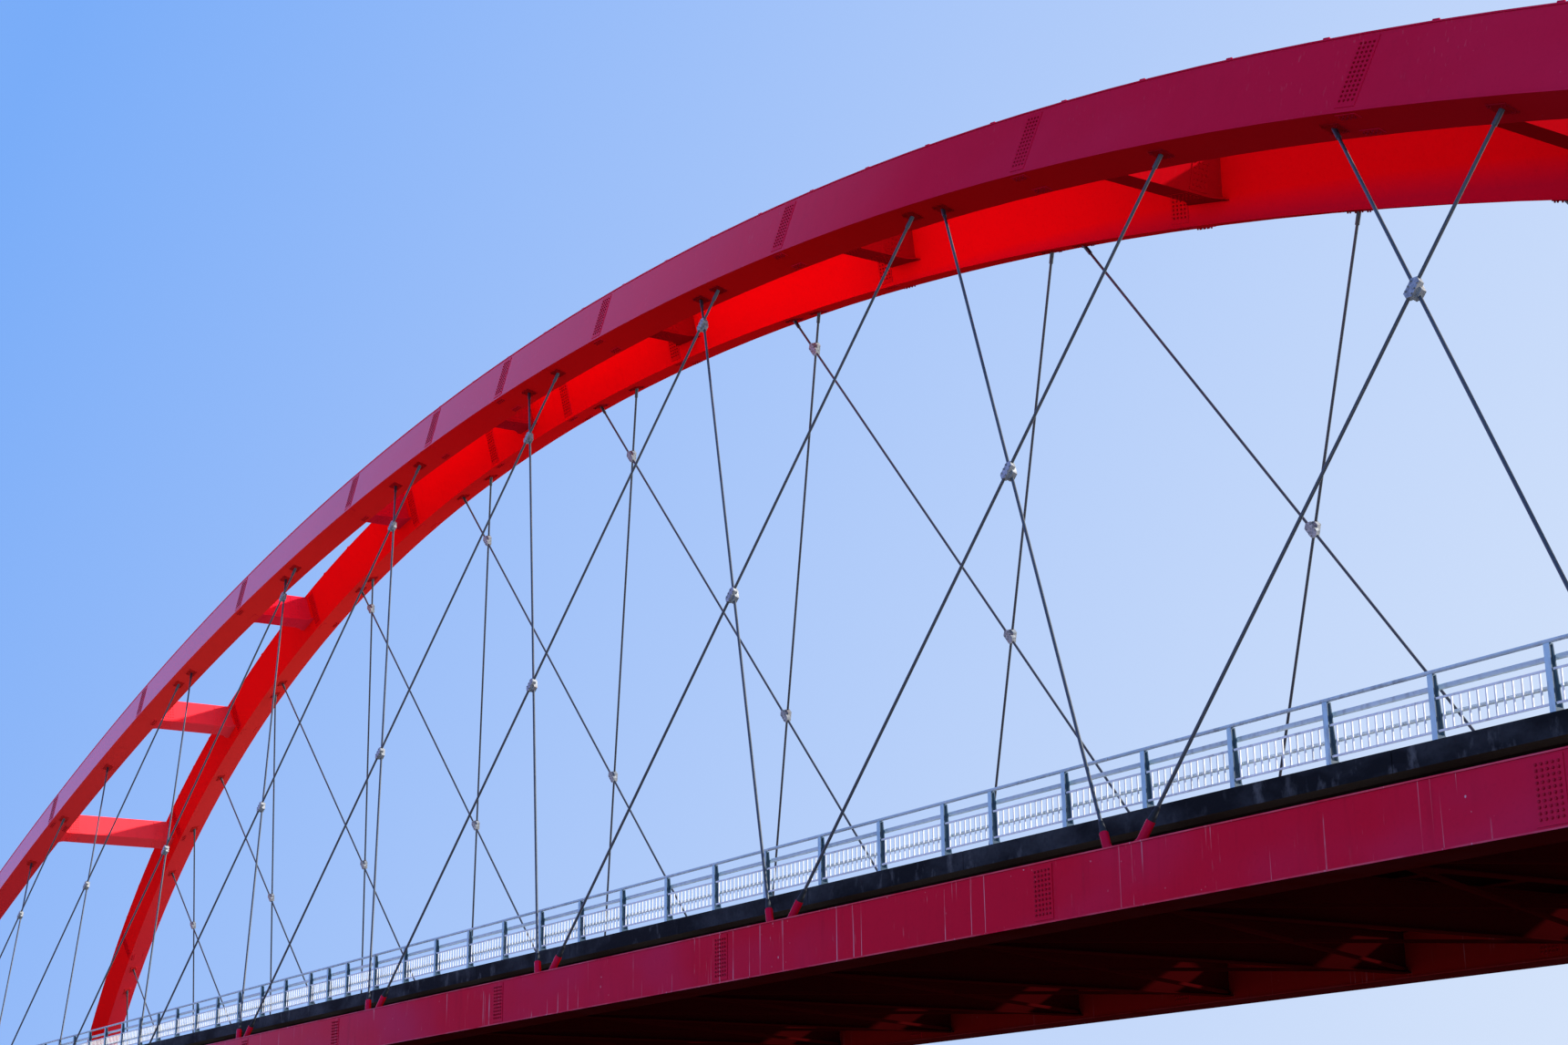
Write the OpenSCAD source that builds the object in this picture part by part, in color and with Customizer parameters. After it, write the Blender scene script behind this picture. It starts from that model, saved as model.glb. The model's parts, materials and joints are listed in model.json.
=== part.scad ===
// Tied arch road bridge with two leaning ribs and crossed hangers, as a 1:10 scale model.
// X runs along the bridge, Y across it and Z up. The origin is at ground level under mid-span.
// Near names the side at -Y and far the side at +Y, left the end at -X and right the end at +X.

/* [Arch] */
// Span between the bearings
span = 12680; // [10500:10:15300]
// Height of the rib centreline over the girder centreline, up the leaning plane
rise = 1978; // [1640:1:2380]
// Distance between the two ribs' planes at the top of the girders
plane_spacing = 1135; // [1120:1:1400]
// Distance between the two ribs' centrelines at the crown, which sets their lean
crown_spacing = 202; // [168:1:242]
// Depth of a rib along the arch radius
rib_depth = 143; // [118:1:176]
// Width of a rib over its flanges
rib_w = 84; // [70:1:101]
// Thickness of the rib flanges
rib_flange_t = 3; // [2:0.1:4]
// Projection of the flanges past the webs
flange_lip = 1.5; // [1:0.1:2.5]
// How far the heels of the ribs reach past the bearings
rib_heel = 45; // [36:1:54]
// Distance from a cross strut to the bolted rib joint beside it, towards the crown
rib_joint_in = 85; // [84:1:104]
// The same distance at the lowest cross strut
low_joint_in = 140; // [110:1:168]
// Distance from mid-span to the two bolted rib joints at the crown
crown_joint_x = 260; // [215:5:315]
// Length of the cover plates at a bolted joint
cover_l = 50; // [40:1:52]
// Thickness of the cover plates at a bolted joint
cover_t = 1.2; // [1:0.1:2]

/* [Cross struts] */
// Distance between cross struts along the bridge
strut_pitch = 1000; // [830:10:1200]
// Struts on each side of the one at the crown
struts_per_side = 4; // [4:1:5]
// Width of a strut along the arch
strut_w = 78; // [60:1:94]
// Depth of a strut along the arch radius
strut_depth = 92; // [74:1:100]
// Distance from a rib's underside up to the strut's underside
strut_up = 44; // [30:1:50]
// Extra width of a strut's flanges on each side where they meet a rib
strut_flare = 19; // [16:0.5:20]
// Length over which a strut's flanges widen
strut_flare_l = 28; // [24:1:34]

/* [Hangers] */
// Distance between hanger nodes along the girders
panel = 1000; // [830:1:1200]
// Angle of the hangers to the girders in the leaning plane
hanger_angle = 60; // [52:0.5:70]
// Distance from a node to the foot of each of its two hangers
hanger_off = 39; // [33:1:47]
// Diameter of a hanger cable
cable_d = 6; // [5:0.1:7.2]
// Diameter of the pipe socket at a hanger's foot
socket_d = 15; // [12.5:0.1:18]
// Length of the pipe socket along the hanger
socket_l = 42; // [35:1:50]
// Length of the tapered boot above the socket
boot_l = 24; // [20:1:29]
// Length of the sleeve under the rib
sleeve_l = 26; // [20:1:31]
// Diameter of the sleeve under the rib
sleeve_d = 9; // [7.5:0.1:11]
// Width of a clamp half where two hangers cross
clamp_w = 21; // [17:1:26]
// Length of a clamp half along its hanger
clamp_l = 36; // [30:1:44]
// Thickness of the metal over a hanger in its clamp
clamp_wall = 2; // [1.6:0.1:2.5]

/* [Girders and floor] */
// Depth of a tie girder
girder_h = 96; // [80:1:116]
// Width of a tie girder
girder_w = 84; // [70:1:101]
// Length of a girder past its bearing
girder_tail = 150; // [120:1:200]
// Distance from a node to the bolted joint beside it, towards mid-span
girder_joint_in = 150; // [120:1:200]
// Distance between floor beams
floor_beam_pitch = 500; // [420:10:600]
// Depth of the floor beams
floor_beam_h = 80; // [60:1:84]
// Number of stringers
stringers_n = 5; // [3:1:6]
// Depth of the stringers
stringer_h = 42; // [36:1:50]

/* [Deck] */
// Clearance between the kerbs and the ribs
kerb_clear = 0.5; // [0.3:0.1:2]
// Thickness of the slab
slab_t = 20; // [16:1:24]
// Width of a kerb
kerb_w = 45; // [38:1:54]
// Height of a kerb, from its underside to its top
kerb_h = 32; // [29:1:38]
// Thickness of the road surface
asphalt_t = 6; // [5:1:8]

/* [Railing] */
// Distance between railing posts
post_pitch = 200; // [166:1:240]
// Bays in one length of railing, after the short bay that it starts with
bays_n = 14; // [6:1:18]
// Length of the short bay
short_bay = 139.5; // [116:0.5:168]
// Height of the railing over the kerb
railing_h = 96; // [80:1:115]
// Width of a post along the bridge
post_w = 10; // [8:0.5:12]
// Depth of a post across the bridge at its foot
post_depth = 15; // [13:0.5:18]
// Thickness of a post's plates
post_t = 1.6; // [1.2:0.1:2]
// Diameter of the top rail
top_rail_d = 6; // [5:0.1:7]
// Height of the oval middle rail
mid_rail_h = 8; // [7:0.1:9.6]
// Width of the oval middle rail
mid_rail_w = 5; // [4.2:0.1:6]
// Diameter of the pipe behind the balusters
pipe_d = 5.6; // [4.6:0.1:6.8]
// Distance between balusters
baluster_pitch = 15; // [12.5:0.1:18]
// Least distance from a post to a baluster, between centres
baluster_in = 17; // [14:0.1:20]
// Width of a baluster
baluster_w = 2.2; // [1.8:0.1:2.6]

/* [Abutments] */
// Height of the girders' top over the ground
girder_top = 720; // [600:1:860]
// Height of a bearing
bearing_h = 30; // [25:1:36]
// Length of an abutment along the bridge
abutment_l = 520; // [440:10:620]
// Distance from a bearing's pedestal to the side of the abutment
abutment_edge = 72.5; // [60:0.5:88]

/* [Hidden] */

$fn = 24;
ARC_FN = 900;
NEAR = -1;
FAR = 1;
CLEAR = 0.1;

PAINT = "crimson";
PAINT_DARK = "firebrick";
CABLE = "slategray";
ZINC = "silver";
CONCRETE = "gray";

half_span = span / 2;
plane_y = plane_spacing / 2;
// How far a rib's centreline comes in from the girders to the crown
rib_in = (plane_spacing - crown_spacing) / 2;
first_lean = asin(rib_in / (rise - girder_h / 2));
// Lean of each rib and its hangers towards the middle, in degrees
lean = asin(rib_in / (rise - girder_h / 2 / cos(first_lean)));
axis_r = (half_span * half_span + rise * rise) / (2 * rise);
arch_in = axis_r - rib_depth / 2;
arch_out = axis_r + rib_depth / 2;
strut_mid_r = arch_in + strut_up + strut_depth / 2;
girder_mid = girder_h / 2 / cos(lean);
centre_t = rise - girder_mid - axis_r;

cable_gap = 0.6;
plate_w = 30;

// Angle from the crown of a point on the rib centreline at distance x from mid-span
function rib_angle(x) = asin(x / axis_r);

// Angle from the crown of the i-th cross strut's centreline
function strut_angle(i) = asin(i * strut_pitch / strut_mid_r);

// Length of a hanger from its foot at x0 until it reaches radius r from the arch centre
function hanger_length(x0, dir, r) =
    let (along = x0 * dir * cos(hanger_angle) - centre_t * sin(hanger_angle))
    -along + sqrt(along * along + r * r - x0 * x0 - centre_t * centre_t);

foot_in_x = sqrt(arch_in * arch_in - centre_t * centre_t);
node_end_gap = 200;
node_limit = foot_in_x - hanger_off - node_end_gap;
half_nodes = [for (i = [0 : 1 : 20]) if ((i + 0.5) * panel < node_limit) (i + 0.5) * panel];
nodes_x = concat([for (i = [len(half_nodes) - 1 : -1 : 0]) -half_nodes[i]], half_nodes);

// Where a hanger leaning right crosses one leaning left, k nodes further on
cross_points = [for (k = [1, 2], i = [0 : 1 : len(nodes_x) - 1])
    if (i + k < len(nodes_x))
        let (xa = nodes_x[i] + hanger_off, xb = nodes_x[i + k] - hanger_off)
        [(xa + xb) / 2, (xb - xa) / 2 * tan(hanger_angle)]];

// Distance from such a point to the rib's underside
function room_over(point) = arch_in - norm([point[0], point[1] - centre_t]);

clamp_room = 2 * clamp_l;
crossings = [for (point = cross_points) if (room_over(point) > clamp_room) point];
sleeve_crossings = [for (point = cross_points) if (abs(room_over(point)) <= clamp_room) point];
// Distance of a hanger's centreline from the plane between the two directions of hangers.
// It leaves room for the cables to pass, or for the sleeves where they pass under the rib.
cable_z = ((len(sleeve_crossings) > 0 ? sleeve_d : cable_d) + cable_gap) / 2;

// The leaning plane: X along the bridge, Y up the plane from the girder's top, Z outwards
module in_plane(side) {
    mirror([0, side == FAR ? 1 : 0, 0])
        translate([0, -plane_y, girder_top])
            rotate([-lean, 0, 0])
                rotate([90, 0, 0])
                    children();
}

// Places children at an angle from the crown, with Y along the radius and its zero at radius r
module at_rib(angle, r) {
    translate([0, centre_t])
        rotate([0, 0, -angle])
            translate([0, r])
                children();
}

module ring_sector(r_in, r_out, half_angle) {
    reach = 1.2 * r_out;
    intersection() {
        difference() {
            circle(r = r_out, $fn = ARC_FN);
            circle(r = r_in, $fn = ARC_FN);
        }
        polygon([[0, 0], [-reach * sin(half_angle), reach * cos(half_angle)], [0, 2 * reach],
            [reach * sin(half_angle), reach * cos(half_angle)]]);
    }
}

// Arch ribs
spare_angle = 3;
sector = rib_angle(half_span) + spare_angle;
web_z = rib_w / 2 - flange_lip;

module rib_bar() {
    translate([0, centre_t])
        difference() {
            linear_extrude(rib_w, center = true)
                ring_sector(arch_in, arch_out, sector);
            for (s = [-1, 1])
                translate([0, 0, s * rib_w / 2])
                    linear_extrude(2 * flange_lip, center = true)
                        ring_sector(arch_in + rib_flange_t, arch_out - rib_flange_t, sector + spare_angle);
        }
}

// The space over the girders, up to a distance from mid-span
module above_girders(reach) {
    translate([-reach, -span / 2, girder_top])
        cube([2 * reach, span, 2 * rise]);
}

module arch_rib(side) {
    color(PAINT)
        intersection() {
            in_plane(side)
                rib_bar();
            above_girders(half_span + rib_heel);
        }
}

joints_per_side = struts_per_side + 1;

// Distance from the i-th cross strut to the joint beside it, along the rib
function joint_in(i) = i < struts_per_side ? rib_joint_in : low_joint_in;

joint_half = concat([rib_angle(crown_joint_x)], [for (i = [1 : 1 : joints_per_side])
    strut_angle(i) - joint_in(i) / axis_r * 180 / PI]);
joint_angles = concat(-joint_half, joint_half);
web_cover_edge = 6;
flange_cover_edge = 7;
strip_gap = 1;

module rib_splices(side) {
    web_cover = rib_depth - 2 * rib_flange_t - 2 * web_cover_edge;
    flange_cover = rib_w - 2 * flange_cover_edge;
    strip_w = flange_cover / 2 - plate_w / 2 - cable_z - strip_gap;
    color(PAINT)
        in_plane(side)
            for (angle = joint_angles)
                at_rib(angle, axis_r) {
                    for (s = [-1, 1])
                        translate([-cover_l / 2, -web_cover / 2, s > 0 ? web_z : -web_z - cover_t])
                            cube([cover_l, web_cover, cover_t]);
                    translate([-cover_l / 2, rib_depth / 2 + CLEAR, -flange_cover / 2])
                        cube([cover_l, cover_t, flange_cover]);
                    for (s = [-1, 1])
                        translate([-cover_l / 2, -rib_depth / 2 - CLEAR - cover_t,
                            s > 0 ? flange_cover / 2 - strip_w : -flange_cover / 2])
                            cube([cover_l, cover_t, strip_w]);
                }
}

lug_pitch = panel / 4;
lug_l = 16;
lug_h = 4;
lug_t = 2;
lug_in = 2;
lug_end_gap = 500;
lugs_per_side = floor((half_span - lug_end_gap) / lug_pitch);

module rib_top_lugs() {
    color(PAINT_DARK)
        for (side = [NEAR, FAR])
            in_plane(side)
                for (i = [-lugs_per_side : 1 : lugs_per_side], s = [-1, 1])
                    at_rib(rib_angle(i * lug_pitch), arch_out + CLEAR)
                        translate([0, lug_h / 2, s * (rib_w / 2 - lug_in - lug_t / 2)])
                            cube([lug_l, lug_h, lug_t], center = true);
}

// Cross struts
strut_t = 2.5;

// Outline of a strut flange in plan, wider where it meets the ribs
module strut_flange(half_len) {
    half_w = strut_w / 2;
    wide = half_w + strut_flare;
    flare_r = (strut_flare_l * strut_flare_l + strut_flare * strut_flare) / (2 * strut_flare);
    difference() {
        square([2 * wide, 2 * half_len], center = true);
        for (s = [-1, 1])
            translate([s * (half_w + flare_r), 0])
                hollow_side(flare_r, half_len - strut_flare_l);
    }
}

// The scooped side of a flange: straight along the strut and rounded at both ends
module hollow_side(r, half_straight) {
    for (e = [-1, 1])
        translate([0, e * half_straight])
            circle(r = r, $fn = 96);
    square([2 * r, 2 * half_straight], center = true);
}

// Distance up the leaning plane of a point at radius r and an angle from the crown
function up_plane(r, angle) = centre_t + r * cos(angle);

// Half the gap between the two ribs' inner webs at that point
function half_gap(r, angle) = plane_y - up_plane(r, angle) * sin(lean) - web_z * cos(lean);

// Height over the girders' top of that point on an inner web
function web_height(r, angle) = up_plane(r, angle) * cos(lean) - web_z * sin(lean);

module between_ribs() {
    difference() {
        children();
        for (side = [NEAR, FAR])
            in_plane(side)
                translate([-span, -span, -web_z])
                    cube([2 * span, 2 * span, span]);
    }
}

module cross_strut(i) {
    angle = strut_angle(i);
    mid_half = half_gap(strut_mid_r, angle);
    reach = mid_half + strut_depth;
    color(PAINT)
        between_ribs()
            translate([i * strut_pitch, 0, girder_top + web_height(strut_mid_r, angle)])
                rotate([0, angle, 0]) {
                    cube([strut_w, 2 * reach, strut_depth - 2 * strut_t], center = true);
                    for (s = [-1, 1])
                        translate([0, 0, s * (strut_depth - strut_t) / 2])
                            linear_extrude(strut_t, center = true)
                                strut_flange(mid_half);
                    for (s = [-1, 1], e = [-1, 1])
                        translate([0, e * reach, s * (strut_depth - strut_t) / 2])
                            cube([strut_w + 2 * strut_flare, 2 * (reach - mid_half), strut_t],
                                center = true);
                }
}

module cross_strut_pairs(first, last) {
    for (i = [first : 1 : last], s = [-1, 1])
        cross_strut(s * i);
}

// Hangers
plate_t = 2;
plate_l = 44;
anchor_r = arch_in - CLEAR - plate_t;

// Places children at a hanger's foot with Z along the hanger
module at_hanger(x0, dir, z) {
    translate([x0, 0, z])
        rotate([-90, 0, 0])
            rotate([0, dir * (90 - hanger_angle), 0])
                children();
}

// Angle from the crown of the point where a hanger reaches radius r
function hit_angle(x0, dir, r) =
    asin((x0 + dir * cos(hanger_angle) * hanger_length(x0, dir, r)) / r);

// Keeps what lies under the anchor plate of a hanger
module trimmed_at_plate(x0, dir, z) {
    difference() {
        children();
        at_rib(hit_angle(x0, dir, anchor_r), anchor_r)
            translate([-plate_l, 0, z - plate_w])
                cube([2 * plate_l, plate_l, 2 * plate_w]);
    }
}

module hangers(side, dir) {
    z = dir * cable_z;
    color(CABLE)
        in_plane(side)
            for (xn = nodes_x)
                let (x0 = xn + dir * hanger_off, full = hanger_length(x0, dir, anchor_r))
                trimmed_at_plate(x0, dir, z) {
                    at_hanger(x0, dir, z)
                        translate([0, 0, socket_l])
                            cylinder(d = cable_d, h = full - socket_l + cable_d);
                    at_hanger(x0, dir, z)
                        translate([0, 0, full - sleeve_l])
                            cylinder(d = sleeve_d, h = sleeve_l + sleeve_d);
                }
}

module arch_anchor_plates() {
    color(PAINT)
        for (side = [NEAR, FAR])
            in_plane(side)
                for (xn = nodes_x, dir = [-1, 1])
                    at_rib(hit_angle(xn + dir * hanger_off, dir, anchor_r), anchor_r)
                        translate([-plate_l / 2, 0, dir * cable_z - plate_w / 2])
                            cube([plate_l, plate_t, plate_w]);
}

fin_t = 2.4;
fin_h = 25;
fin_foot = 14;
scallop_r = 2.5;

// Gusset between a socket and the girder's top, on the side of the node
module socket_fin(dir) {
    foot_x = socket_d / 2 / sin(hanger_angle) + fin_foot;
    difference() {
        polygon([[-dir * foot_x, -fin_t], [0, -fin_t], [dir * fin_h / tan(hanger_angle), fin_h],
            [-dir * foot_x, fin_t]]);
        translate([-dir * (foot_x - fin_foot / 2), 0])
            circle(r = scallop_r);
    }
}

module hanger_sockets(side) {
    color(PAINT)
        intersection() {
            in_plane(side)
                for (xn = nodes_x, dir = [-1, 1])
                    let (x0 = xn + dir * hanger_off) {
                        at_hanger(x0, dir, dir * cable_z)
                            translate([0, 0, -socket_d])
                                cylinder(d = socket_d, h = socket_l + socket_d);
                        translate([x0, 0, dir * cable_z - fin_t / 2])
                            linear_extrude(fin_t)
                                socket_fin(dir);
                    }
            above_girders(half_span);
        }
}

boot_step = 2;

module hanger_boots() {
    color("dimgray")
        for (side = [NEAR, FAR])
            in_plane(side)
                for (xn = nodes_x, dir = [-1, 1])
                    at_hanger(xn + dir * hanger_off, dir, dir * cable_z)
                        translate([0, 0, socket_l])
                            difference() {
                                cylinder(d1 = socket_d - boot_step, d2 = cable_d + boot_step, h = boot_l);
                                translate([0, 0, -1])
                                    cylinder(d = cable_d + 2 * CLEAR, h = boot_l + 2);
                            }
}

// Six-sided plate of a clamp half, with its length along Y
module clamp_plate() {
    half_w = clamp_w / 2;
    shoulder = clamp_l / 2 - half_w / 2;
    polygon([[-half_w, -shoulder], [0, -clamp_l / 2], [half_w, -shoulder], [half_w, shoulder],
        [0, clamp_l / 2], [-half_w, shoulder]]);
}

// A clamp is two crossed halves, one round each hanger
module hanger_clamp() {
    difference() {
        for (dir = [-1, 1])
            at_hanger(0, dir, dir * cable_z)
                rotate([90, 0, 0])
                    linear_extrude(cable_d + 2 * clamp_wall, center = true)
                        clamp_plate();
        for (dir = [-1, 1])
            at_hanger(0, dir, dir * cable_z)
                cylinder(d = cable_d + 2 * CLEAR, h = 2 * clamp_l, center = true);
    }
}

module hanger_clamps(side) {
    color(ZINC)
        in_plane(side)
            for (point = crossings)
                translate([point[0], point[1], 0])
                    hanger_clamp();
}

// Tie girders
girder_flange_t = 2.5;
girder_l = span + 2 * girder_tail;
girder_web = girder_w / 2 - flange_lip;

module girder_section() {
    difference() {
        translate([-girder_w / 2, -girder_h])
            square([girder_w, girder_h]);
        for (s = [-1, 1])
            translate([s * girder_w / 2, -girder_h / 2])
                square([2 * flange_lip, girder_h - 2 * girder_flange_t], center = true);
    }
}

module tie_girder(side) {
    color(PAINT)
        translate([-girder_l / 2, side * plane_y, girder_top])
            rotate([90, 0, 90])
                linear_extrude(girder_l)
                    girder_section();
}

module girder_splices(side) {
    cover_h = girder_h - 2 * girder_flange_t - web_cover_edge;
    color(PAINT)
        for (xn = half_nodes, e = [-1, 1], s = [-1, 1])
            translate([e * (xn - girder_joint_in) - cover_l / 2,
                side * plane_y + (s > 0 ? girder_web : -girder_web - cover_t),
                girder_top - girder_h / 2 - cover_h / 2])
                cube([cover_l, cover_t, cover_h]);
}

// Floor
beam_flange_t = 2;
beam_web_t = 1.4;
floor_beam_w = 26;
weld_gap = 0.02;
floor_beam_top = girder_top - (girder_h - floor_beam_h) / 2;
deck_end = half_span + girder_tail;
end_beam_gap = 20;
floor_beams_per_side = floor((half_span - end_beam_gap) / floor_beam_pitch);
stringer_w = 24;
stringer_in = 110;
slab_bottom = floor_beam_top + stringer_h;
slab_top = slab_bottom + slab_t;

module i_section(w, h, flange_t, web_t) {
    for (y = [0, h - flange_t])
        translate([-w / 2, y])
            square([w, flange_t]);
    translate([-web_t / 2, 0])
        square([web_t, h]);
}

module floor_beams() {
    half_len = plane_y - girder_web - weld_gap;
    color(PAINT_DARK)
        for (i = [-floor_beams_per_side : 1 : floor_beams_per_side])
            translate([i * floor_beam_pitch, half_len, floor_beam_top - floor_beam_h])
                rotate([90, 0, 0])
                    linear_extrude(2 * half_len)
                        i_section(floor_beam_w, floor_beam_h, beam_flange_t, beam_web_t);
}

module stringers() {
    spread = deck_w - 2 * stringer_in;
    color(PAINT_DARK)
        for (i = [0 : 1 : stringers_n - 1])
            translate([-deck_end, spread * (i / (stringers_n - 1) - 0.5), floor_beam_top])
                rotate([90, 0, 90])
                    linear_extrude(2 * deck_end)
                        i_section(stringer_w, stringer_h, beam_flange_t, beam_web_t);
}

brace_w = 8;
brace_t = 6;
brace_up = 8;

// One bay of crossed bracing under the deck, between two floor beams
module lateral_bracing() {
    half_y = plane_y - girder_w / 2 - CLEAR;
    bay = floor_beam_pitch - beam_web_t - CLEAR;
    angle = atan(2 * half_y / bay);
    color(PAINT_DARK)
        for (i = [-floor_beams_per_side : 1 : floor_beams_per_side - 1])
            translate([(i + 0.5) * floor_beam_pitch, 0, floor_beam_top - floor_beam_h + brace_up])
                intersection() {
                    cube([bay, 2 * half_y, brace_t], center = true);
                    for (s = [-1, 1])
                        rotate([0, 0, s * angle])
                            cube([4 * half_y, brace_w, brace_t], center = true);
                }
}

// Deck
kerb_up = 12;
kerb_bottom = slab_top + asphalt_t + kerb_up - kerb_h;
kerb_top = kerb_bottom + kerb_h;
// Distance of the ribs' inner edges from the middle of the road, at the kerbs' top
kerb_room = plane_y - rib_w / 2 * cos(lean)
    - (kerb_top - girder_top + rib_w / 2 * sin(lean)) * tan(lean);
deck_w = 2 * (kerb_room - kerb_clear);
groove_w = 1.5;
groove_pitch = panel / 2;
grooves_per_side = floor(deck_end / groove_pitch);

module deck_slab() {
    color(CONCRETE)
        translate([-deck_end, -deck_w / 2 + kerb_w, slab_bottom])
            cube([2 * deck_end, deck_w - 2 * kerb_w, slab_t]);
}

module road_surface() {
    color("darkslategray")
        translate([-deck_end, -deck_w / 2 + kerb_w, slab_top])
            cube([2 * deck_end, deck_w - 2 * kerb_w, asphalt_t]);
}

// A kerb with a groove at each contraction joint of its outer face
module kerb(side) {
    color(CONCRETE)
        difference() {
            translate([-deck_end, side > 0 ? deck_w / 2 - kerb_w : -deck_w / 2, kerb_bottom])
                cube([2 * deck_end, kerb_w, kerb_h]);
            for (i = [-grooves_per_side : 1 : grooves_per_side])
                translate([i * groove_pitch, side * deck_w / 2, kerb_bottom + kerb_h / 2])
                    cube([groove_w, 2 * groove_w, 2 * kerb_h], center = true);
        }
}

// Railings
post_in = 2;
post_y = deck_w / 2 - post_in;
rail_up = (kerb_top - girder_top + railing_h) / cos(lean);
rail_end_gap = 30;
rail_end = sqrt(arch_in * arch_in - pow(rail_up - centre_t, 2)) - rail_end_gap;
railing_l = short_bay + bays_n * post_pitch;
half_posts = [for (n = [0 : 1 : floor(rail_end / railing_l)], i = [0 : 1 : bays_n])
    let (x = n * railing_l + (i == 0 ? 0 : short_bay + (i - 1) * post_pitch))
    if (x < rail_end) x];
post_x = concat([for (i = [len(half_posts) - 1 : -1 : 1]) -half_posts[i]], half_posts);
// How far below the railing's top its other parts are
panel_down = 38.5;
panel_foot_down = 86;
mid_rail_down = 23.5;
pipe_down = 60;
panel_top = railing_h - panel_down;
panel_bottom = railing_h - panel_foot_down;
mid_rail_z = railing_h - mid_rail_down;
pipe_z = railing_h - pipe_down;
post_top = railing_h - top_rail_d - CLEAR;
post_top_depth = 8;
post_neck = 6;
foot_out = 4;
foot_t = 2;

// Depth of a post at height h over the kerb
function post_depth_at(h) =
    post_depth - (post_depth - post_top_depth) * (h - post_neck) / (post_top - post_neck);

module railing_frame(side) {
    mirror([0, side == NEAR ? 1 : 0, 0])
        translate([0, post_y, kerb_top])
            children();
}

// Side view of a post: inwards is negative, with a wider foot
module post_outline() {
    polygon([[0, 0], [-post_depth - foot_out, 0], [-post_depth - foot_out, foot_t],
        [-post_depth, post_neck], [-post_top_depth, post_top], [0, post_top]]);
}

// Side view of the hollow between a post's two flanges
module post_hollow() {
    polygon([[-post_t, post_neck], [-post_depth + post_t, post_neck],
        [-post_top_depth + post_t, post_top - post_t], [-post_t, post_top - post_t]]);
}

module railing_post() {
    difference() {
        linear_extrude(post_w, center = true)
            post_outline();
        for (s = [-1, 1])
            translate([0, 0, s * post_w / 2])
                linear_extrude(post_w - post_t, center = true)
                    post_hollow();
    }
}

module railing_posts(side) {
    color("lightsteelblue")
        railing_frame(side)
            for (x = post_x)
                translate([x, 0, 0])
                    rotate([90, 0, 90])
                        railing_post();
}

// An upright oval, with straight sides
module oval(w, h) {
    for (s = [-1, 1])
        translate([0, s * (h - w) / 2])
            circle(d = w);
    square([w, h - w], center = true);
}

// Places a rail's section at a distance in from the railing's plane and a height over the kerb
module rail_along(inwards, z) {
    translate([post_x[0] - post_w, -inwards, z])
        rotate([90, 0, 90])
            linear_extrude(2 * post_w - 2 * post_x[0])
                children();
}

module railing_rails(side) {
    color("lightsteelblue")
        railing_frame(side) {
            rail_along(post_top_depth / 2, railing_h - top_rail_d / 2)
                circle(d = top_rail_d);
            rail_along(post_depth_at(mid_rail_z - mid_rail_h / 2) + mid_rail_w / 2 + CLEAR, mid_rail_z)
                oval(mid_rail_w, mid_rail_h);
            rail_along(post_depth_at(pipe_z - pipe_d / 2) + pipe_d / 2 + CLEAR, pipe_z)
                circle(d = pipe_d);
        }
}

panel_h = panel_top - panel_bottom;
panel_t = 2;
panel_in = 2;
bar_h = 3;
panel_gap = 3 * CLEAR;

// Balusters between two bars, centred in a bay between posts that stand a distance apart
module baluster_bay(bay) {
    bars = floor((bay - 2 * baluster_in) / baluster_pitch) + 1;
    bay_w = bay - post_w - 2 * panel_gap;
    for (y = [bar_h / 2, panel_h - bar_h / 2])
        translate([0, y])
            square([bay_w, bar_h], center = true);
    for (i = [0 : 1 : bars - 1])
        translate([(i - (bars - 1) / 2) * baluster_pitch, panel_h / 2])
            square([baluster_w, panel_h - bar_h], center = true);
}

module baluster_panels(side, third) {
    first = floor((len(post_x) - 1) * third / 3);
    last = floor((len(post_x) - 1) * (third + 1) / 3) - 1;
    color("lightsteelblue")
        railing_frame(side)
            for (i = [first : 1 : last])
                translate([(post_x[i] + post_x[i + 1]) / 2, -panel_in, panel_bottom])
                    rotate([90, 0, 0])
                        linear_extrude(panel_t)
                            baluster_bay(post_x[i + 1] - post_x[i]);
}

// Bearings and abutments
seat_top = girder_top - girder_h - bearing_h;
pedestal_h = 20;
pedestal_edge = 8;
bearing_w = 64;
bearing_plate_t = 6;
bearing_core_in = 7;
pedestal_w = bearing_w + 2 * pedestal_edge;
abutment_w = plane_spacing + pedestal_w + 2 * abutment_edge;
seat_in = 200;
abutment_in = half_span - seat_in;

module bearings() {
    color("dimgray")
        for (e = [-1, 1], side = [NEAR, FAR])
            translate([e * half_span, side * plane_y, seat_top]) {
                for (z = [0, bearing_h - bearing_plate_t])
                    translate([-bearing_w / 2, -bearing_w / 2, z])
                        cube([bearing_w, bearing_w, bearing_plate_t]);
                cylinder(d = bearing_w - 2 * bearing_core_in, h = bearing_h - bearing_plate_t);
            }
}

joint_w = 12;

module expansion_joints() {
    color("dimgray")
        for (e = [-1, 1])
            translate([e > 0 ? deck_end + CLEAR : -deck_end - joint_w + CLEAR,
                -deck_w / 2 + kerb_w, slab_top])
                cube([joint_w - 2 * CLEAR, deck_w - 2 * kerb_w, asphalt_t]);
}

// Half of the abutment's side view, with the bearing seat, the back wall and the heel
module abutment_outline() {
    back = abutment_in + abutment_l;
    wall_in = deck_end + joint_w;
    polygon([[abutment_in, 0], [back, 0], [back, slab_top + asphalt_t],
        [wall_in, slab_top + asphalt_t], [wall_in, seat_top - pedestal_h],
        [abutment_in, seat_top - pedestal_h]]);
}

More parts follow.
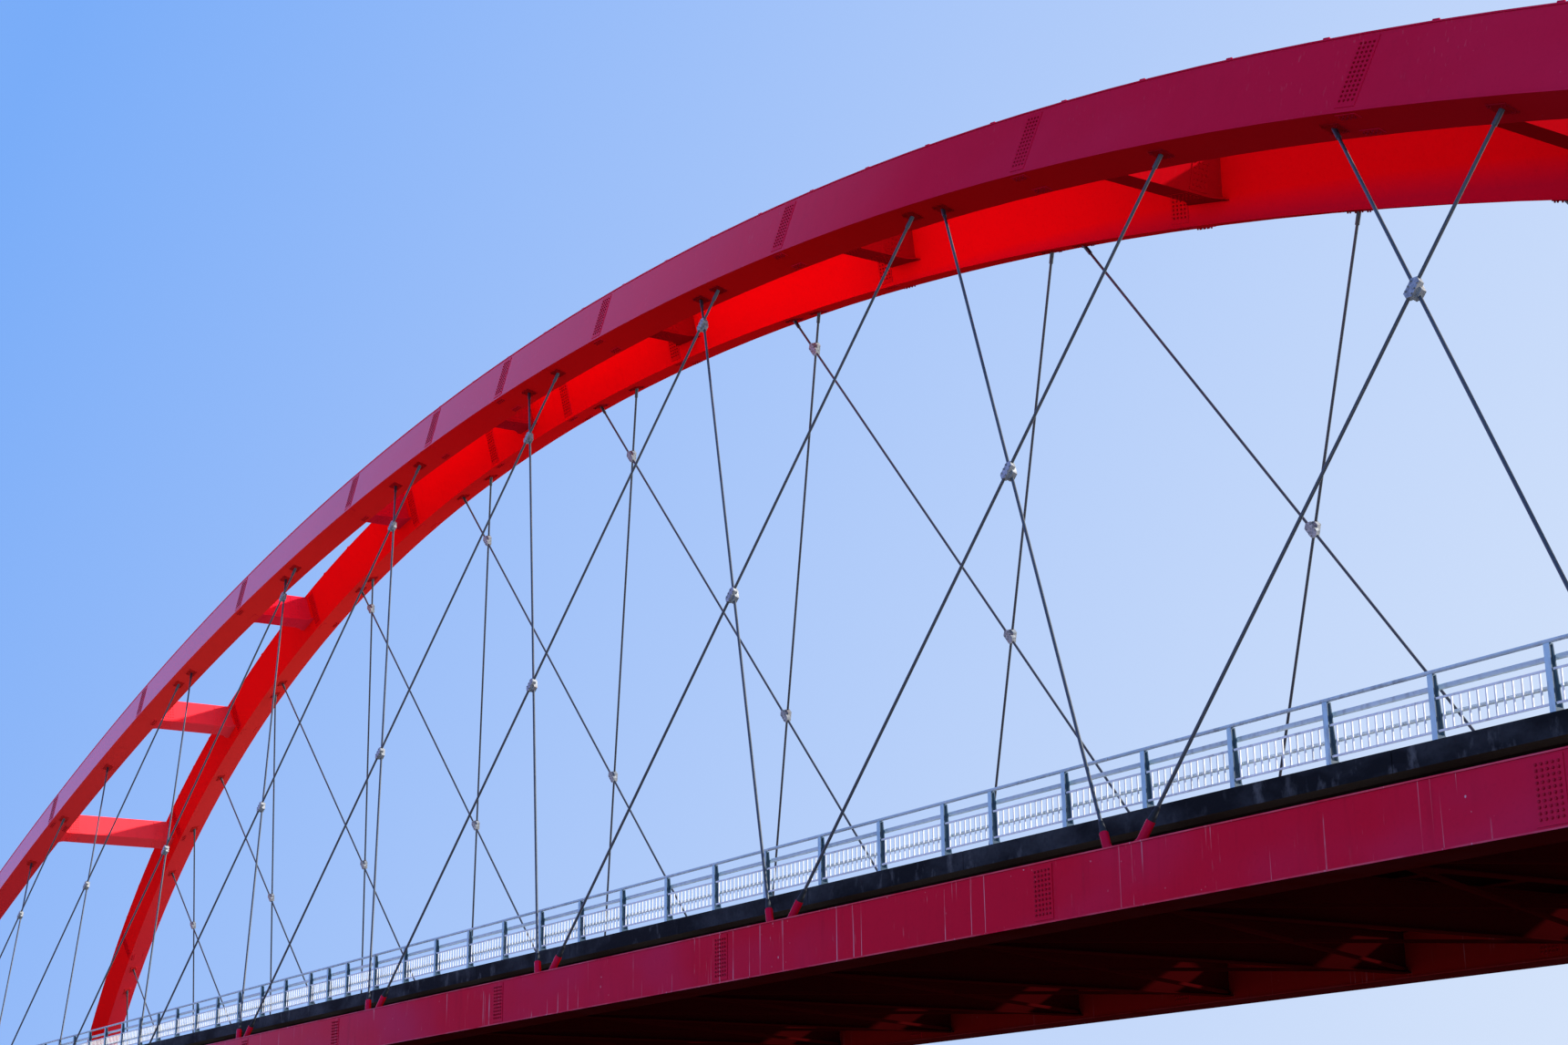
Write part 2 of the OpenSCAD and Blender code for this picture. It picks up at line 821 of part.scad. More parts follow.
module abutment(end) {
    color(CONCRETE)
        mirror([end < 0 ? 1 : 0, 0, 0]) {
            translate([0, abutment_w / 2, 0])
                rotate([90, 0, 0])
                    linear_extrude(abutment_w)
                        abutment_outline();
            for (side = [NEAR, FAR])
                translate([half_span, side * plane_y, seat_top - pedestal_h / 2])
                    cube([pedestal_w, pedestal_w, pedestal_h], center = true);
        }
}

arch_rib(NEAR);  // arch_rib_near
arch_rib(FAR);  // arch_rib_far
rib_splices(NEAR);  // rib_splices_near
rib_splices(FAR);  // rib_splices_far
rib_top_lugs();
cross_strut(0);  // cross_strut_crown
cross_strut_pairs(1, 1);  // cross_struts_inner
cross_strut_pairs(2, 2);  // cross_struts_middle
cross_strut_pairs(3, 3);  // cross_struts_outer
cross_strut_pairs(4, struts_per_side);  // cross_struts_low
hangers(NEAR, -1);  // hangers_near_leaning_left
hangers(NEAR, 1);  // hangers_near_leaning_right
hangers(FAR, -1);  // hangers_far_leaning_left
hangers(FAR, 1);  // hangers_far_leaning_right
hanger_clamps(NEAR);  // hanger_clamps_near
hanger_clamps(FAR);  // hanger_clamps_far
hanger_sockets(NEAR);  // hanger_sockets_near
hanger_sockets(FAR);  // hanger_sockets_far
hanger_boots();
arch_anchor_plates();
tie_girder(NEAR);  // tie_girder_near
tie_girder(FAR);  // tie_girder_far
girder_splices(NEAR);  // girder_splices_near
girder_splices(FAR);  // girder_splices_far
floor_beams();
stringers();
lateral_bracing();
deck_slab();
road_surface();
kerb(NEAR);  // kerb_near
kerb(FAR);  // kerb_far
railing_posts(NEAR);  // railing_posts_near
railing_posts(FAR);  // railing_posts_far
railing_rails(NEAR);  // railing_rails_near
railing_rails(FAR);  // railing_rails_far
baluster_panels(NEAR, 0);  // baluster_panels_near_left
baluster_panels(NEAR, 1);  // baluster_panels_near_middle
baluster_panels(NEAR, 2);  // baluster_panels_near_right
baluster_panels(FAR, 0);  // baluster_panels_far_left
baluster_panels(FAR, 1);  // baluster_panels_far_middle
baluster_panels(FAR, 2);  // baluster_panels_far_right
bearings();
expansion_joints();
abutment(-1);  // abutment_left
abutment(1);  // abutment_right
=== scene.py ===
"""Looks for the tied arch road bridge: paint, concrete, bolts, camera and studio light.

Lengths are in metres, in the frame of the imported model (a 1:10 scale model).
X runs along the bridge from left to right, Y across it and Z up.
Near is the side at -Y and far the side at +Y.
"""

import json
import math

import bpy
from mathutils import Matrix, Vector


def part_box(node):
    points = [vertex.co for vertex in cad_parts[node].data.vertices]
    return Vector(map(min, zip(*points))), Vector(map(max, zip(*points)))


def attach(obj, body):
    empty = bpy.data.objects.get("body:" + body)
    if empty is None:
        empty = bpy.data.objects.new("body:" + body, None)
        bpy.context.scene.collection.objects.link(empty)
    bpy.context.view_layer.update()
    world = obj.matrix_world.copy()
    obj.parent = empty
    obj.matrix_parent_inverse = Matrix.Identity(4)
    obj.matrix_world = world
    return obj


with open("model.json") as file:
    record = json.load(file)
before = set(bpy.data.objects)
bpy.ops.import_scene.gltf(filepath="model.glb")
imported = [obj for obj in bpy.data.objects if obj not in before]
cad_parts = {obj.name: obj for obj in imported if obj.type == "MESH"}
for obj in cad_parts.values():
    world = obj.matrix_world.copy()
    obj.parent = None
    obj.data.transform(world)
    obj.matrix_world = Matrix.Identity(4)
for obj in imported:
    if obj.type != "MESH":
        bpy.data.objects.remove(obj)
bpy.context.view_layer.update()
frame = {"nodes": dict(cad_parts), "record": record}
NODES = frame["nodes"]
SLOTS = {row["node"]: row["material_slot"] for row in frame["record"]["subparts"]}

# Sign of Y on each side
SIDES = {"near": -1, "far": 1}

# Camera, solved from the hanger clamps, the rib edges and the railing posts; angles in degrees
CAMERA_AT = Vector((6.266, -2.8674, 0.1703))
CAMERA_TURN = 58.390
CAMERA_PITCH = 16.774
CAMERA_ROLL = -0.606
FOCAL_PX = 2587.57
PHOTO_W = 1721
SENSOR_W = 36.0

# Sun
SUN_FROM = Vector((0.446, 0.772, 0.454))
SUN_POWER = 8.0
SUN_ANGLE = 3.0
SUN_COLOUR = (1.0, 0.95, 0.86)

# Studio background: pale towards one side and deep away from it, by the part of a direction along that side
SKY_PALE = (0.82, 0.90, 1.0)
SKY_DEEP = (0.20, 0.43, 0.97)
SKY_POWER = 0.97
SKY_PALE_SIDE = (0.45, 0.75, -0.45)
SKY_DEEP_TO_PALE = (-0.45, 0.45)

# Mauve haze in the background: where it starts and is full, by a direction's part along X, Y and Z
HAZE = (0.62, 0.53, 1.35)
HAZE_X = (0.0, -0.6)
HAZE_Y = (-0.05, -0.2)
HAZE_Z = (0.75, 0.3)

FLOOR_HALF = 300.0
FLOOR_COLOUR = (0.44, 0.43, 0.41)

# Arch and girders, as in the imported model
SPAN = 12.68
RISE = 1.978
PLANE_SPACING = 1.135
CROWN_SPACING = 0.202
RIB_DEPTH = 0.143
RIB_W = 0.084
FLANGE_LIP = 0.0015
GIRDER_H = 0.096
GIRDER_FLANGE_T = 0.0025
GIRDER_TOP = 0.72

# The arch's lean, its radius, and the height of its centre over the girders' top in the leaning plane
RIB_IN = (PLANE_SPACING - CROWN_SPACING) / 2
FIRST_LEAN = math.asin(RIB_IN / (RISE - GIRDER_H / 2))
LEAN = math.asin(RIB_IN / (RISE - GIRDER_H / 2 / math.cos(FIRST_LEAN)))
AXIS_R = ((SPAN / 2) ** 2 + RISE ** 2) / (2 * RISE)
CENTRE_UP = RISE - GIRDER_H / 2 / math.cos(LEAN) - AXIS_R
ARCH_IN = AXIS_R - RIB_DEPTH / 2
RIB_WEB_OUT = RIB_W / 2 - FLANGE_LIP

# Cross struts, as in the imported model
STRUT_PITCH = 1.0
STRUTS_PER_SIDE = 4
STRUT_W = 0.078
STRUT_DEPTH = 0.092
STRUT_UP = 0.044
STRUT_MID_R = ARCH_IN + STRUT_UP + STRUT_DEPTH / 2

# Splice plates of the struts
SPLICE_L = 0.046
SPLICE_T = 0.0012
SPLICE_IN = 0.052
SPLICE_EDGE = 0.006
SHORT_STRUT = 0.09

# Hangers and their clamps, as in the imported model
HANGER_ANGLE = 60.0
CLAMP_W = 0.021
CLAMP_L = 0.036

# Outer face of the railing posts, as a distance from the middle of the road
POST_FACE = -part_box("railing_posts_near")[0][1]

# Bolts: radius and height
BOLT = (0.0019, 0.0020)
CLAMP_BOLT = (0.0014, 0.0020)
SOFFIT_NUT = (0.0019, 0.0030)
ANCHOR_NUT = (0.0017, 0.0030)

# A bolt's washer, shoulder and top, as parts of its radius or height
WASHER_R = 1.25
WASHER_H = 0.22
SUNK_H = 0.2
SHOULDER_H = 0.85
TOP_R = 0.75
BOLT_SIDES = 6

# How many bolts stand across and along a plate, and the part of the plate that stays free at its edges
RIB_WEB_BOLTS = (4, 13)
RIB_FLANGE_BOLTS = (4, 7)
RIB_STRIP_BOLTS = (2, 4)
GIRDER_WEB_BOLTS = (5, 10)
STRUT_WEB_BOLTS = (4, 6)
STRUT_FLANGE_BOLTS = (4, 5)
EDGE_MARGIN = 0.12

# Rib joints: a cover longer than the first lies on a web, and one wider than the second on a flange
WEB_COVER_L = 0.7 * RIB_DEPTH
FLANGE_COVER_W = 0.4 * RIB_W

# Places of the nuts on an anchor plate and of the bolts on a clamp, from their middle
ANCHOR_ALONG = (-0.42, -0.28, 0.28, 0.42)
ANCHOR_ACROSS = (-0.36, 0.36)
CLAMP_ALONG = (-0.24 * CLAMP_L, 0.0, 0.24 * CLAMP_L)
CLAMP_ACROSS = (-0.36 * CLAMP_W, 0.36 * CLAMP_W)

# Two edges of a plate count as square to each other below this cosine
SQUARE = 0.01


# Camera, light and floor

def make_camera():
    turn, pitch, roll = (math.radians(a) for a in (CAMERA_TURN, CAMERA_PITCH, CAMERA_ROLL))
    forward = Vector((-math.sin(turn) * math.cos(pitch), math.cos(turn) * math.cos(pitch), math.sin(pitch)))
    right = Vector((math.cos(turn), math.sin(turn), 0.0))
    up = right.cross(forward)
    x_axis = right * math.cos(roll) + up * math.sin(roll)
    y_axis = up * math.cos(roll) - right * math.sin(roll)
    data = bpy.data.cameras.new("camera")
    data.sensor_fit = "HORIZONTAL"
    data.sensor_width = SENSOR_W
    data.lens = FOCAL_PX * SENSOR_W / PHOTO_W
    data.clip_end = 3 * FLOOR_HALF
    camera = bpy.data.objects.new("camera", data)
    bpy.context.scene.collection.objects.link(camera)
    axes = Matrix((x_axis, y_axis, -forward)).transposed()
    camera.matrix_world = Matrix.Translation(CAMERA_AT) @ axes.to_4x4()
    bpy.context.scene.camera = camera


class Nodes:
    """Adds and links the shader nodes of one node tree."""

    def __init__(self, tree):
        self.tree = tree

    def node(self, kind, **settings):
        made = self.tree.nodes.new(kind)
        for name, value in settings.items():
            setattr(made, name, value)
        return made

    def plug(self, value, socket):
        """Links a socket, or sets a number or a colour."""
        if isinstance(value, bpy.types.NodeSocket):
            self.tree.links.new(value, socket)
        elif isinstance(value, tuple):
            socket.default_value = (*value, 1.0)
        else:
            socket.default_value = value

    def fit(self, value, low, high, new_low=0.0, new_high=1.0):
        """Maps a value from one range to another, and holds it there."""
        made = self.node("ShaderNodeMapRange")
        made.inputs["From Min"].default_value = low
        made.inputs["From Max"].default_value = high
        made.inputs["To Min"].default_value = new_low
        made.inputs["To Max"].default_value = new_high
        self.plug(value, made.inputs["Value"])
        return made.outputs["Result"]

    def mix(self, factor, low, high):
        made = self.node("ShaderNodeMix", data_type="RGBA")
        self.plug(factor, made.inputs["Factor"])
        self.plug(low, made.inputs["A"])
        self.plug(high, made.inputs["B"])
        return made.outputs["Result"]

    def math(self, operation, a, b=0.0):
        made = self.node("ShaderNodeMath", operation=operation)
        self.plug(a, made.inputs[0])
        self.plug(b, made.inputs[1])
        return made.outputs["Value"]

    def times(self, a, b):
        return self.math("MULTIPLY", a, b)

    def minus(self, a, b):
        return self.math("SUBTRACT", a, b)

    def larger(self, a, b):
        return self.math("MAXIMUM", a, b)

    def absolute(self, value):
        return self.math("ABSOLUTE", value)

    def part(self, vector, axis):
        """A vector's part along X, Y or Z."""
        split = self.node("ShaderNodeSeparateXYZ")
        self.plug(vector, split.inputs["Vector"])
        return split.outputs[axis]


def make_sky():
    """A pale blue studio background, deeper away from the light, with mauve haze low at the near left."""
    world = bpy.data.worlds.new("studio")
    world.use_nodes = True
    sky = Nodes(world.node_tree)
    direction = sky.node("ShaderNodeTexCoord").outputs["Generated"]
    towards_light = sky.node("ShaderNodeVectorMath", operation="DOT_PRODUCT")
    towards_light.inputs[1].default_value = SKY_PALE_SIDE
    sky.plug(direction, towards_light.inputs[0])
    pale = sky.fit(towards_light.outputs["Value"], *SKY_DEEP_TO_PALE)
    haze = sky.times(sky.fit(sky.part(direction, "Y"), *HAZE_Y), sky.fit(sky.part(direction, "Z"), *HAZE_Z))
    haze = sky.times(haze, sky.fit(sky.part(direction, "X"), *HAZE_X))
    colour = sky.mix(haze, sky.mix(pale, SKY_DEEP, SKY_PALE), HAZE)
    background = world.node_tree.nodes["Background"]
    background.inputs["Strength"].default_value = SKY_POWER
    sky.plug(colour, background.inputs["Color"])
    bpy.context.scene.world = world


def make_sun():
    sun = bpy.data.lights.new("key", "SUN")
    sun.energy = SUN_POWER
    sun.angle = math.radians(SUN_ANGLE)
    sun.color = SUN_COLOUR
    key = bpy.data.objects.new("key", sun)
    key.rotation_euler = SUN_FROM.to_track_quat("Z", "Y").to_euler()
    bpy.context.scene.collection.objects.link(key)
    bpy.context.scene.view_settings.view_transform = "Standard"


def make_floor():
    half = FLOOR_HALF
    mesh = bpy.data.meshes.new("floor")
    mesh.from_pydata([(-half, -half, 0.0), (half, -half, 0.0), (half, half, 0.0), (-half, half, 0.0)],
                     [], [(0, 1, 2, 3)])
    floor = bpy.data.objects.new("floor", mesh)
    bpy.context.scene.collection.objects.link(floor)
    material = bpy.data.materials.new("floor")
    material.use_nodes = True
    shader = material.node_tree.nodes["Principled BSDF"]
    shader.inputs["Base Color"].default_value = (*FLOOR_COLOUR, 1.0)
    shader.inputs["Roughness"].default_value = 0.95
    mesh.materials.append(material)


# Materials

class Paint(Nodes):
    """One material. Its noise runs from 0 to 1 and stays between about 0.3 and 0.7."""

    def __init__(self, name):
        self.material = bpy.data.materials.new(name)
        self.material.use_nodes = True
        super().__init__(self.material.node_tree)
        self.shader = self.tree.nodes["Principled BSDF"]
        self.coords = self.node("ShaderNodeTexCoord").outputs["Object"]

    def noise(self, size, stretch=(1, 1, 1), detail=4.0, roughness=0.55):
        """Cloudy noise with features of about the given size; stretch makes them longer along an axis."""
        mapping = self.node("ShaderNodeMapping")
        mapping.inputs["Scale"].default_value = tuple(1 / (size * s) for s in stretch)
        self.plug(self.coords, mapping.inputs["Vector"])
        texture = self.node("ShaderNodeTexNoise")
        texture.inputs["Scale"].default_value = 1.0
        texture.inputs["Detail"].default_value = detail
        texture.inputs["Roughness"].default_value = roughness
        self.plug(mapping.outputs["Vector"], texture.inputs["Vector"])
        return texture.outputs["Fac"]

    def patches(self, size, low, high, most=1.0, least=0.0, **shape):
        """Patches of noise: least where the noise is below low, and most where it is over high."""
        return self.fit(self.noise(size, **shape), low, high, least, most)

    def uneven(self, size, low, high):
        """A value that drifts between low and high."""
        return self.patches(size, 0.3, 0.7, most=high, least=low)

    def along(self, axis):
        """The object's own coordinate along X, Y or Z."""
        return self.part(self.coords, axis)

    def facing(self, axis):
        """The surface normal's part along an axis, such as 1 on a top face for Z."""
        return self.part(self.node("ShaderNodeNewGeometry").outputs["Normal"], axis)

    def outwards(self):
        """Above 0 on faces that look away from the road, below 0 on faces that look at it."""
        return self.times(self.facing("Y"), self.math("SIGN", self.along("Y")))

    def grazing(self, low, high):
        """0 where a face is seen straight on, rising to 1 where it is seen along its surface."""
        return self.fit(self.node("ShaderNodeLayerWeight").outputs["Facing"], low, high)

    def lines(self, axis, pitch, width):
        """1 on lines that cross an axis at every pitch."""
        place = self.math("PINGPONG", self.along(axis), pitch / 2)
        return self.fit(place, 0.0, width / 2, 1.0, 0.0)

    def bump(self, source, distance, strength):
        made = self.node("ShaderNodeBump")
        made.inputs["Strength"].default_value = strength
        made.inputs["Distance"].default_value = distance
        self.plug(source, made.inputs["Height"])
        self.plug(made.outputs["Normal"], self.shader.inputs["Normal"])

    def finish(self, colour, roughness, **fixed):
        """Sets the shader; fixed has its other sockets by name, with a number each."""
        self.plug(colour, self.shader.inputs["Base Color"])
        self.plug(roughness, self.shader.inputs["Roughness"])
        for name, value in fixed.items():
            title = name.replace("_", " ").title().replace("Ior", "IOR")
            self.shader.inputs[title].default_value = value
        return self.material


# Parts of a normal, from where a face starts to count as looking that way to where it fully does
FACES_UP = (0.6, 0.95)
FACES_DOWN = (-0.75, -0.95)
FACES_OUT = (0.3, 0.6)
FACES_ROAD = (0.1, -0.25)

# Where the paint's gloss starts and where it is full, as 1 minus the cosine of the angle to the face
GLOSS = (0.58, 0.76)

# Pale runs are full on outer faces, and this strong on the others
RUNS_ELSEWHERE = 0.15

# How steeply the painted highlight on the edges of the girders' flanges begins
EDGE_SHARPNESS = 8.0

# Painted shade band on the lower part of the ribs' inner faces: it widens along these places, to these parts
# of the rib's depth, and fades out over the last
BAND_X = (1.6, 4.2)
BAND_EDGE = (-0.15, 0.5)
BAND_FADE = (0.15, -0.2)

# Reds of the ribs and struts: places along X, from the left, with the colour there
# Outer faces: painted sky-lit shade, a bluish red that is darker towards the right
RIB_OUTER = [(1.3, (0.72, 0.007, 0.050)), (2.9, (0.55, 0.005, 0.040))]
# Inner faces: painted bounce light from the facing rib, brightest in the middle and less bright at the ends
RIB_INNER = [(-2.6, (0.84, 0.006, 0.007)), (-0.4, (0.97, 0.002, 0.006)), (1.8, (0.97, 0.002, 0.006)),
             (3.4, (0.84, 0.001, 0.005))]
# Undersides: painted bounce light, paler and brighter towards the left
RIB_BELOW = [(-3.4, (0.90, 0.040, 0.030)), (0.0, (0.86, 0.006, 0.008)), (2.5, (0.78, 0.004, 0.005))]
# Band: painted shade on the lower part of the ribs' inner faces
RIB_SHADED_BAND = (0.52, 0.004, 0.022)
# Anchor plates: painted bounce light, lighter towards the left
ANCHOR_RED = [(-3.4, (0.58, 0.020, 0.016)), (-0.5, (0.42, 0.004, 0.006)), (1.2, (0.24, 0.002, 0.003))]
# Struts: painted sunlight at the left, turning to painted shade at the right
STRUT_RED = [(-3.2, (0.95, 0.050, 0.065)), (-1.8, (0.85, 0.012, 0.040)), (0.6, (0.42, 0.002, 0.006))]

# Other colours of the red paint: the far side's outer faces, which lack the painted sky-lit shade of the
# near side's reds, its mauve bloom, what it fades to, soot for dark speckles and runs that is also the
# painted shade on undersides, chalky runs, the painted highlight on the girders' flange edges, and dirt on
# flat faces
SUNNY_RED = (0.66, 0.012, 0.018)
MAUVE = (0.58, 0.018, 0.076)
FADED = (0.16, 0.004, 0.006)
SOOT_AND_SHADE = (0.004, 0.0, 0.0)
CHALK = (0.62, 0.40, 0.46)
EDGE_HIGHLIGHT = (0.72, 0.28, 0.34)
DIRT = (0.11, 0.055, 0.045)

# Other surfaces: a dark and a pale tone, or one colour
SHEATH = ((0.010, 0.018, 0.032), (0.028, 0.036, 0.050))
SHEATH_DUST = (0.10, 0.10, 0.095)
ZINC = ((0.15, 0.17, 0.19), (0.42, 0.44, 0.46))
ZINC_RUST = (0.22, 0.13, 0.08)
RUBBER = ((0.008, 0.010, 0.014), (0.030, 0.034, 0.042))
BEARING_STEEL = ((0.045, 0.045, 0.05), (0.17, 0.095, 0.06))
KERB = ((0.008, 0.0095, 0.012), (0.046, 0.052, 0.060))
KERB_WORN = (0.095, 0.100, 0.104)
# painted shade on the kerbs' undersides
KERB_BELOW = (0.014, 0.0045, 0.0030)
KERB_PITS = (0.012, 0.014, 0.018)
KERB_TOP = (0.20, 0.20, 0.19)
# the slab's dark brown is painted shade on its edge and underside
SLAB = ((0.010, 0.0035, 0.0028), (0.026, 0.010, 0.007))
SLAB_STAIN = (0.006, 0.006, 0.008)
CAST = ((0.21, 0.205, 0.19), (0.38, 0.37, 0.345))
CAST_PITS = (0.10, 0.10, 0.10)
CAST_RUNS = (0.055, 0.058, 0.055)
CAST_JOINT = (0.09, 0.09, 0.085)
ASPHALT = ((0.030, 0.030, 0.032), (0.105, 0.105, 0.10))
WHEEL_TRACK = (0.15, 0.145, 0.135)
ROAD_LINE = (0.62, 0.61, 0.58)
# Rails, balusters and posts are one paint: the balusters' paler tone is painted sunlight, the posts' bluer
# tone painted sky-lit shade
RAIL = ((0.42, 0.52, 0.56), (0.56, 0.64, 0.68))
BALUSTER = ((0.70, 0.73, 0.74), (0.84, 0.85, 0.86))
POST = ((0.40, 0.60, 0.72), (0.52, 0.70, 0.80))
POST_SHADE = (0.010, 0.035, 0.080)
RAILING_GRIME = (0.16, 0.17, 0.18)
RAILING_RUST = (0.20, 0.09, 0.045)

# Patterns: the hangers' helical rib and the zinc's crystals (texture scales), and the formwork's joints
SHEATH_RIB_SCALE = 60.0
ZINC_SCALE = 160.0
FORMWORK_PITCH = 0.18
FORMWORK_LINE = 0.0016

# Road lines: the edge lines' place, half a line's width from full to gone, the dashes' period, and half a
# dash's length from full to gone
EDGE_LINE_Y = 0.36
LINE_HALF = (0.0072, 0.0085)
DASH_PERIOD = 1.0
DASH_HALF = (0.24, 0.245)

# How far behind a post's outer face the painted shade of its hollow starts, and where it is full
HOLLOW_FROM = 0.0005
HOLLOW_FULL = 0.0010


def pale_runs(paint, strength):
    """Chalky runs: a few long thin ones, some short faint ones and some spots."""
    long_runs = paint.times(paint.patches(0.0050, 0.675, 0.72, stretch=(1, 1, 90), detail=1.0),
                            paint.patches(0.14, 0.47, 0.60, most=0.7 * strength))
    short_runs = paint.times(paint.patches(0.0035, 0.66, 0.78, stretch=(1, 1, 12), detail=2.0),
                             paint.patches(0.09, 0.50, 0.64, most=0.35 * strength))
    spots = paint.times(paint.patches(0.009, 0.77, 0.80, detail=1.0),
                        paint.patches(0.2, 0.5, 0.6, most=strength))
    return paint.larger(paint.larger(long_runs, short_runs), spots)


def dark_runs(paint, strength):
    return paint.times(paint.patches(0.02, 0.52, 0.75, stretch=(1, 1, 9)),
                       paint.patches(0.3, 0.45, 0.65, most=strength))


def rib_height(paint):
    """Height inside a rib along the arch radius: 0 at its underside and 1 at its top."""
    beside = paint.minus(paint.absolute(paint.along("Y")), PLANE_SPACING / 2)
    over = paint.minus(paint.along("Z"), GIRDER_TOP)
    up = paint.minus(paint.times(over, math.cos(LEAN)), paint.times(beside, math.sin(LEAN)))
    from_centre = paint.minus(up, CENTRE_UP)
    across = paint.along("X")
    square = paint.math("ADD", paint.times(across, across), paint.times(from_centre, from_centre))
    return paint.fit(paint.math("SQRT", square), ARCH_IN, ARCH_IN + RIB_DEPTH)


def painted_shade_band(paint):
    """1 on the painted shade band on the lower part of the ribs' inner faces, which widens towards the right
    end.
    """
    edge = paint.fit(paint.along("X"), *BAND_X, *BAND_EDGE)
    return paint.fit(paint.minus(rib_height(paint), edge), *BAND_FADE)


def flange_edges(paint):
    """1 on the edges of the tie girders' flanges."""
    foot = GIRDER_TOP - GIRDER_H
    top = paint.fit(paint.along("Z"), GIRDER_TOP - GIRDER_FLANGE_T, GIRDER_TOP)
    bottom = paint.fit(paint.along("Z"), foot + GIRDER_FLANGE_T, foot)
    return paint.math("MINIMUM", paint.times(paint.larger(top, bottom), EDGE_SHARPNESS), 1.0)


def along_bridge(paint, colour):
    """A colour, or one that changes along X through a list of places and colours."""
    if isinstance(colour, tuple):
        return colour
    place, shown = colour[0]
    for next_place, following in colour[1:]:
        shown = paint.mix(paint.fit(paint.along("X"), place, next_place), shown, following)
        place = next_place
    return shown


def fresh_red(paint, downwards, base, inner, below, band, sunny, bloom):
    """The red before any wear, by the side that a face looks to, with the painted light and shade that these
    colours carry.
    """
    on_far_side = paint.fit(paint.along("Y"), -0.001, 0.001)
    far_outside = paint.times(on_far_side, paint.fit(paint.outwards(), *FACES_OUT))
    outer = paint.mix(paint.times(far_outside, sunny), along_bridge(paint, base), SUNNY_RED)
    mauve = paint.patches(0.28, 0.42, 0.66, most=bloom, stretch=(2, 1, 1), detail=3.0)
    outer = paint.mix(mauve, outer, MAUVE)
    towards_road = paint.fit(paint.outwards(), *FACES_ROAD)
    fresh = paint.mix(towards_road, outer, along_bridge(paint, inner or base))
    if band:
        # painted shade on the lower part of the ribs' inner faces
        fresh = paint.mix(paint.times(towards_road, painted_shade_band(paint)), fresh, band)
    return paint.mix(downwards, fresh, along_bridge(paint, below or inner or base))


def worn_red(paint, fresh, streaks, runs, painted_edge_highlight):
    """Fading, speckles and runs on fresh paint, and a painted highlight on the edges of the girders'
    flanges.
    """
    fade = paint.patches(0.5, 0.35, 0.68, most=0.16)
    colour = paint.mix(fade, fresh, paint.mix(0.3, fresh, FADED))
    speckle = paint.patches(0.006, 0.55, 0.85, most=0.22, detail=2.0)
    colour = paint.mix(speckle, colour, paint.mix(0.5, fresh, SOOT_AND_SHADE))
    colour = paint.mix(dark_runs(paint, runs), colour, paint.mix(0.6, fresh, SOOT_AND_SHADE))
    away = paint.fit(paint.outwards(), 0.0, 0.3, RUNS_ELSEWHERE, 1.0)
    colour = paint.mix(paint.times(away, pale_runs(paint, streaks)), colour, CHALK)
    # painted highlight where light catches the girders' flange edges
    if painted_edge_highlight:
        edges = paint.times(paint.times(away, flange_edges(paint)), paint.patches(0.08, 0.3, 0.6))
        colour = paint.mix(paint.times(edges, painted_edge_highlight), colour, EDGE_HIGHLIGHT)
    return colour


def side_gloss(paint, gloss, low_gloss):
    """Gloss on outer faces that don't look down: full at grazing angles, and low_gloss seen straight on."""
    side = paint.times(paint.fit(paint.facing("Z"), -0.9, -0.5), paint.fit(paint.outwards(), 0.1, 0.4))
    weight = paint.larger(paint.grazing(*GLOSS), low_gloss)
    paint.plug(paint.times(paint.times(side, gloss), weight), paint.shader.inputs["Coat Weight"])


def red_paint(name, base, inner=None, below=None, band=None, gloss=1.0, low_gloss=0.08, streaks=0.3,
              runs=0.15, grime=0.6, rough=0.42, under=(0.22, 1.0), painted_edge_highlight=0.0, sunny=0.75, bloom=0.3):
    """Red paint with a gloss at grazing angles, fading, pale and dark runs, dirt on flat faces, and painted
    light and shade.

    base is its colour on faces that look away from the road, inner that of faces that look at the road,
    below that of undersides, and band that of the ribs' painted_shade_band. Each is a colour, or a list of
    places along X with a colour each. sunny is how far the far side's outer faces turn to SUNNY_RED, and
    bloom how mauve some patches are. streaks and runs are the strength of pale and dark runs, and the edge
    setting that of the painted highlight on the flange edges. under is how bright the undersides stay
    against their painted shade, where they turn to -X and to +X.
    """
    paint = Paint(name)
    downwards = paint.fit(paint.facing("Z"), *FACES_DOWN)
    fresh = fresh_red(paint, downwards, base, inner, below, band, sunny, bloom)
    colour = worn_red(paint, fresh, streaks, runs, painted_edge_highlight)
    dirt = paint.patches(0.05, 0.35, 0.7, most=grime, least=0.1, detail=6.0)
    colour = paint.mix(paint.times(paint.fit(paint.facing("Z"), *FACES_UP), dirt), colour, DIRT)
    # painted shade on the undersides, darker where they turn to -X
    painted_under_shade = paint.fit(paint.facing("X"), -0.40, 0.15, 1 - under[0], 1 - under[1])
    colour = paint.mix(paint.times(downwards, painted_under_shade), colour, SOOT_AND_SHADE)
    paint.bump(paint.noise(0.02, detail=2.0), distance=0.0004, strength=0.2)
    side_gloss(paint, gloss, low_gloss)
    return paint.finish(colour, paint.uneven(0.12, rough - 0.06, rough + 0.08), coat_roughness=0.14,
                        specular_ior_level=0.0)


